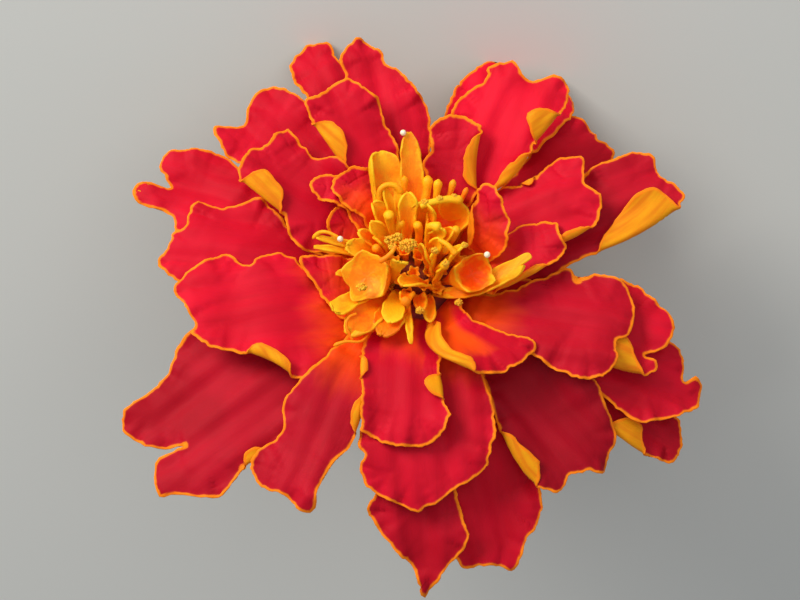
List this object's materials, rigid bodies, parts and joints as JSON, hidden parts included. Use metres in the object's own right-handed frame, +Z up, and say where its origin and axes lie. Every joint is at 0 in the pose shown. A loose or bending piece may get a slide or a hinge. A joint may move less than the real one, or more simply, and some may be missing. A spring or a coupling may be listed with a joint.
{
  "type": "marigold flower",
  "caption": "Double French marigold bloom, picked with a short stem and laid down: waved red petals edged with orange, an orange disc, a ribbed green cup and a cut stem.",
  "frame": {"origin": "on the surface it lies on, at the middle of the part's footprint", "axes": "+Z up; the bloom faces -Y and up, and the cut stem points to +Y and down; +X runs across the bloom"},
  "size_m": [0.0558, 0.045, 0.0409],
  "materials": {
    "petal_red": "velvety deep red petal with an orange margin and a golden underside",
    "floret_orange": "satin orange to yellow floret",
    "cup_green": "satin green bract, ribbed, with darker gland streaks",
    "stem_green": "satin green stem, faintly ridged, flushed reddish"
  },
  "bodies": {
    "root": {"ray_petals": "petal_red", "disc_florets": "floret_orange", "involucre": "cup_green", "stem": "stem_green"}
  },
  "joints": []
}
